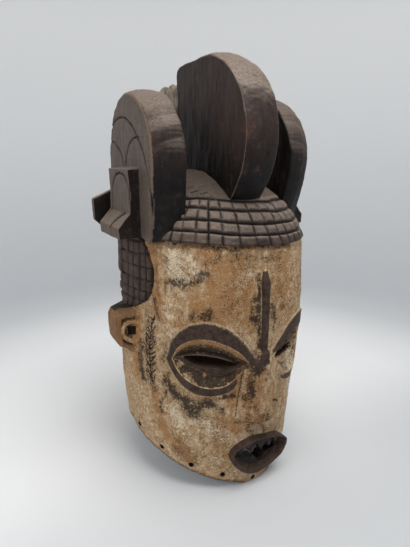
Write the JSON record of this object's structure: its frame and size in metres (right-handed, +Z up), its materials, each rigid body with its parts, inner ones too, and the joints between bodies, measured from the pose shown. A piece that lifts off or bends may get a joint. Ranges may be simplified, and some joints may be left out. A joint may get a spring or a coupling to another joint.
{
  "type": "janus helmet mask",
  "caption": "Hollow carved wooden helmet mask with a face front and back, a netted cap of hair and upright rounded crest lobes.",
  "frame": {"origin": "centre of the base, on the surface that the two chins stand on", "axes": "+Z up through the crest, the front face looks along -Y, +X towards the mask's own left ear"},
  "size_m": [0.246, 0.2442, 0.467],
  "materials": {
    "painted_wood": "carved wood, dark brown and matt on hair and crest, worn cream kaolin paint on the faces"
  },
  "bodies": {
    "root": {"helmet_mask": "painted_wood"}
  },
  "joints": []
}
